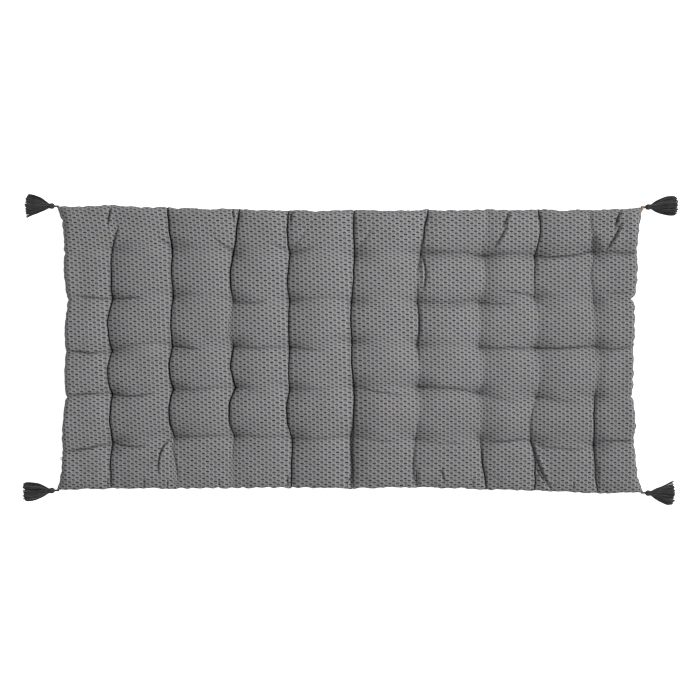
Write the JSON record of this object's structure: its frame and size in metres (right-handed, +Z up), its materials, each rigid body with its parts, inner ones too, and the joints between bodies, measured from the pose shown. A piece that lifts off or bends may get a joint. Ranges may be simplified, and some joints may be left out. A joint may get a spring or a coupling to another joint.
{
  "type": "floor mattress",
  "caption": "Long flat tufted floor mattress in printed cotton, filled and drawn in at rows of tufts, with a yarn tassel at each corner.",
  "frame": {"origin": "on the floor, at the middle of the mattress and its tassels seen from above", "axes": "+X along the mattress's length, +Y across it, +Z up from the floor"},
  "size_m": [1.3463, 0.6403, 0.058],
  "materials": {
    "printed_cotton": "plain woven cotton with a small grey honeycomb print, matte",
    "charcoal_yarn": "dyed cotton yarn, matte"
  },
  "bodies": {
    "root": {"mattress": "printed_cotton", "tassel_far_left": "charcoal_yarn", "tassel_far_right": "charcoal_yarn", "tassel_near_left": "charcoal_yarn", "tassel_near_right": "charcoal_yarn", "binding_far_left": "charcoal_yarn", "binding_far_right": "charcoal_yarn", "binding_near_left": "charcoal_yarn", "binding_near_right": "charcoal_yarn", "tie_far_left": "charcoal_yarn", "tie_far_right": "charcoal_yarn", "tie_near_left": "charcoal_yarn", "tie_near_right": "charcoal_yarn"}
  },
  "joints": []
}
